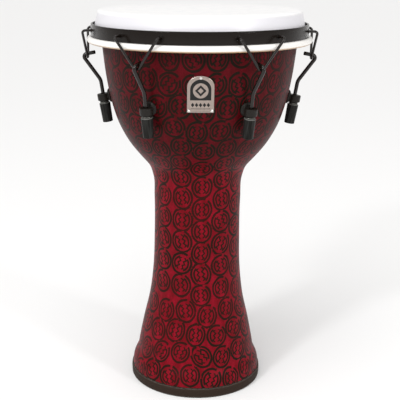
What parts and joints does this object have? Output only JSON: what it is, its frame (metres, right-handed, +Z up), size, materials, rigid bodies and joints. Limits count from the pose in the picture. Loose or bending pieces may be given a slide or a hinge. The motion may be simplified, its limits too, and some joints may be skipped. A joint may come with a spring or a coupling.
{
  "type": "djembe",
  "caption": "Goblet-shaped hand drum with a printed shell, a rubber foot and a white head held by a hoop, wire hooks, bent rods and long nuts.",
  "frame": {"origin": "centre of the foot on the floor", "axes": "+Z up along the drum axis, towards the head; -Y towards the player, through the badge side"},
  "size_m": [0.368, 0.3506, 0.61],
  "materials": {
    "printed_shell": "satin lacquer over a mottled crimson wrap printed with dark line medallions",
    "rubber": "matt moulded rubber",
    "drum_film": "white coated film, finely grained",
    "white_hoop": "white, soft gloss",
    "black_enamel": "black gloss enamel",
    "black_casting": "black satin paint on a cast part",
    "zinc_steel": "zinc plated",
    "dark_steel": "dark satin plated steel",
    "badge_metal": "pale champagne metal, brushed"
  },
  "bodies": {
    "drum": {"shell": "printed_shell", "foot_ring": "rubber", "lug_1": "black_casting", "lug_2": "black_casting", "lug_3": "black_casting", "lug_4": "black_casting", "lug_5": "black_casting", "lug_6": "black_casting", "lug_bolt_1": "zinc_steel", "lug_bolt_2": "zinc_steel", "lug_bolt_3": "zinc_steel", "lug_bolt_4": "zinc_steel", "lug_bolt_5": "zinc_steel", "lug_bolt_6": "zinc_steel", "lug_washer_1": "zinc_steel", "lug_washer_2": "zinc_steel", "lug_washer_3": "zinc_steel", "lug_washer_4": "zinc_steel", "lug_washer_5": "zinc_steel", "lug_washer_6": "zinc_steel", "nut_washer_1": "zinc_steel", "nut_washer_2": "zinc_steel", "nut_washer_3": "zinc_steel", "nut_washer_4": "zinc_steel", "nut_washer_5": "zinc_steel", "nut_washer_6": "zinc_steel", "badge_plate": "badge_metal", "badge_rivet_top": "badge_metal", "badge_rivet_left": "badge_metal", "badge_rivet_right": "badge_metal"},
    "head": {"head_film": "drum_film", "flesh_hoop": "white_hoop", "counterhoop": "black_enamel"},
    "tuning_nut_1": {"tuning_nut_1": "dark_steel"},
    "tuning_nut_2": {"tuning_nut_2": "dark_steel"},
    "tuning_nut_3": {"tuning_nut_3": "dark_steel"},
    "tuning_nut_4": {"tuning_nut_4": "dark_steel"},
    "tuning_nut_5": {"tuning_nut_5": "dark_steel"},
    "tuning_nut_6": {"tuning_nut_6": "dark_steel"},
    "tension_rod_1": {"tension_rod_1": "black_enamel"},
    "tension_rod_2": {"tension_rod_2": "black_enamel"},
    "tension_rod_3": {"tension_rod_3": "black_enamel"},
    "tension_rod_4": {"tension_rod_4": "black_enamel"},
    "tension_rod_5": {"tension_rod_5": "black_enamel"},
    "tension_rod_6": {"tension_rod_6": "black_enamel"},
    "rim_hook_1": {"rim_hook_1": "black_enamel"},
    "rim_hook_2": {"rim_hook_2": "black_enamel"},
    "rim_hook_3": {"rim_hook_3": "black_enamel"},
    "rim_hook_4": {"rim_hook_4": "black_enamel"},
    "rim_hook_5": {"rim_hook_5": "black_enamel"},
    "rim_hook_6": {"rim_hook_6": "black_enamel"}
  },
  "joints": [
    {"name": "tuning_nut_1_turn", "type": "hinge", "parent": "drum", "child": "tuning_nut_1", "pos_m": [-0.07575, -0.1312, 0.4725], "axis": [0.0799, 0.1385, -0.9871], "range_deg": [0, 3240]},
    {"name": "tuning_nut_2_turn", "type": "hinge", "parent": "drum", "child": "tuning_nut_2", "pos_m": [-0.1515, 0, 0.4725], "axis": [0.1599, 0, -0.9871], "range_deg": [0, 3240]},
    {"name": "tuning_nut_3_turn", "type": "hinge", "parent": "drum", "child": "tuning_nut_3", "pos_m": [-0.07575, 0.1312, 0.4725], "axis": [0.0799, -0.1385, -0.9871], "range_deg": [0, 3240]},
    {"name": "tuning_nut_4_turn", "type": "hinge", "parent": "drum", "child": "tuning_nut_4", "pos_m": [0.07575, 0.1312, 0.4725], "axis": [-0.0799, -0.1385, -0.9871], "range_deg": [0, 3240]},
    {"name": "tuning_nut_5_turn", "type": "hinge", "parent": "drum", "child": "tuning_nut_5", "pos_m": [0.1515, 0, 0.4725], "axis": [-0.1599, 0, -0.9871], "range_deg": [0, 3240]},
    {"name": "tuning_nut_6_turn", "type": "hinge", "parent": "drum", "child": "tuning_nut_6", "pos_m": [0.07575, -0.1312, 0.4725], "axis": [-0.0799, 0.1385, -0.9871], "range_deg": [0, 3240]},
    {"name": "tension_rod_1_travel", "type": "slide", "parent": "drum", "child": "tension_rod_1", "axis": [-0.0799, -0.1385, 0.9871], "range_m": [0, 0.0091]},
    {"name": "tension_rod_2_travel", "type": "slide", "parent": "drum", "child": "tension_rod_2", "axis": [-0.1599, 0, 0.9871], "range_m": [0, 0.0091]},
    {"name": "tension_rod_3_travel", "type": "slide", "parent": "drum", "child": "tension_rod_3", "axis": [-0.0799, 0.1385, 0.9871], "range_m": [0, 0.0091]},
    {"name": "tension_rod_4_travel", "type": "slide", "parent": "drum", "child": "tension_rod_4", "axis": [0.0799, 0.1385, 0.9871], "range_m": [0, 0.0091]},
    {"name": "tension_rod_5_travel", "type": "slide", "parent": "drum", "child": "tension_rod_5", "axis": [0.1599, 0, 0.9871], "range_m": [0, 0.0091]},
    {"name": "tension_rod_6_travel", "type": "slide", "parent": "drum", "child": "tension_rod_6", "axis": [0.0799, -0.1385, 0.9871], "range_m": [0, 0.0091]},
    {"name": "head_lift", "type": "slide", "parent": "drum", "child": "head", "axis": [0, 0, 1], "range_m": [0, 0.0085]},
    {"name": "rim_hook_1_swing", "type": "hinge", "parent": "head", "child": "rim_hook_1", "pos_m": [-0.08207, -0.14215, 0.5795], "axis": [-0.866, 0.5, 0], "range_deg": [0, 3]},
    {"name": "rim_hook_2_swing", "type": "hinge", "parent": "head", "child": "rim_hook_2", "pos_m": [-0.16414, 0, 0.5795], "axis": [0, 1, 0], "range_deg": [0, 3]},
    {"name": "rim_hook_3_swing", "type": "hinge", "parent": "head", "child": "rim_hook_3", "pos_m": [-0.08207, 0.14215, 0.5795], "axis": [0.866, 0.5, 0], "range_deg": [0, 3]},
    {"name": "rim_hook_4_swing", "type": "hinge", "parent": "head", "child": "rim_hook_4", "pos_m": [0.08207, 0.14215, 0.5795], "axis": [0.866, -0.5, 0], "range_deg": [0, 3]},
    {"name": "rim_hook_5_swing", "type": "hinge", "parent": "head", "child": "rim_hook_5", "pos_m": [0.16414, 0, 0.5795], "axis": [0, -1, 0], "range_deg": [0, 3]},
    {"name": "rim_hook_6_swing", "type": "hinge", "parent": "head", "child": "rim_hook_6", "pos_m": [0.08207, -0.14215, 0.5795], "axis": [-0.866, -0.5, 0], "range_deg": [0, 3]}
  ],
  "couplings": [
    {"joint": "tuning_nut_1_turn", "follows": "head_lift", "rad_per_m": 6641.6},
    {"joint": "tuning_nut_2_turn", "follows": "head_lift", "rad_per_m": 6641.6},
    {"joint": "tuning_nut_3_turn", "follows": "head_lift", "rad_per_m": 6641.6},
    {"joint": "tuning_nut_4_turn", "follows": "head_lift", "rad_per_m": 6641.6},
    {"joint": "tuning_nut_5_turn", "follows": "head_lift", "rad_per_m": 6641.6},
    {"joint": "tuning_nut_6_turn", "follows": "head_lift", "rad_per_m": 6641.6},
    {"joint": "tension_rod_1_travel", "follows": "head_lift", "ratio": 1.057},
    {"joint": "tension_rod_2_travel", "follows": "head_lift", "ratio": 1.057},
    {"joint": "tension_rod_3_travel", "follows": "head_lift", "ratio": 1.057},
    {"joint": "tension_rod_4_travel", "follows": "head_lift", "ratio": 1.057},
    {"joint": "tension_rod_5_travel", "follows": "head_lift", "ratio": 1.057},
    {"joint": "tension_rod_6_travel", "follows": "head_lift", "ratio": 1.057},
    {"joint": "rim_hook_1_swing", "follows": "head_lift", "rad_per_m": 3.8236},
    {"joint": "rim_hook_2_swing", "follows": "head_lift", "rad_per_m": 3.8236},
    {"joint": "rim_hook_3_swing", "follows": "head_lift", "rad_per_m": 3.8236},
    {"joint": "rim_hook_4_swing", "follows": "head_lift", "rad_per_m": 3.8236},
    {"joint": "rim_hook_5_swing", "follows": "head_lift", "rad_per_m": 3.8236},
    {"joint": "rim_hook_6_swing", "follows": "head_lift", "rad_per_m": 3.8236}
  ]
}
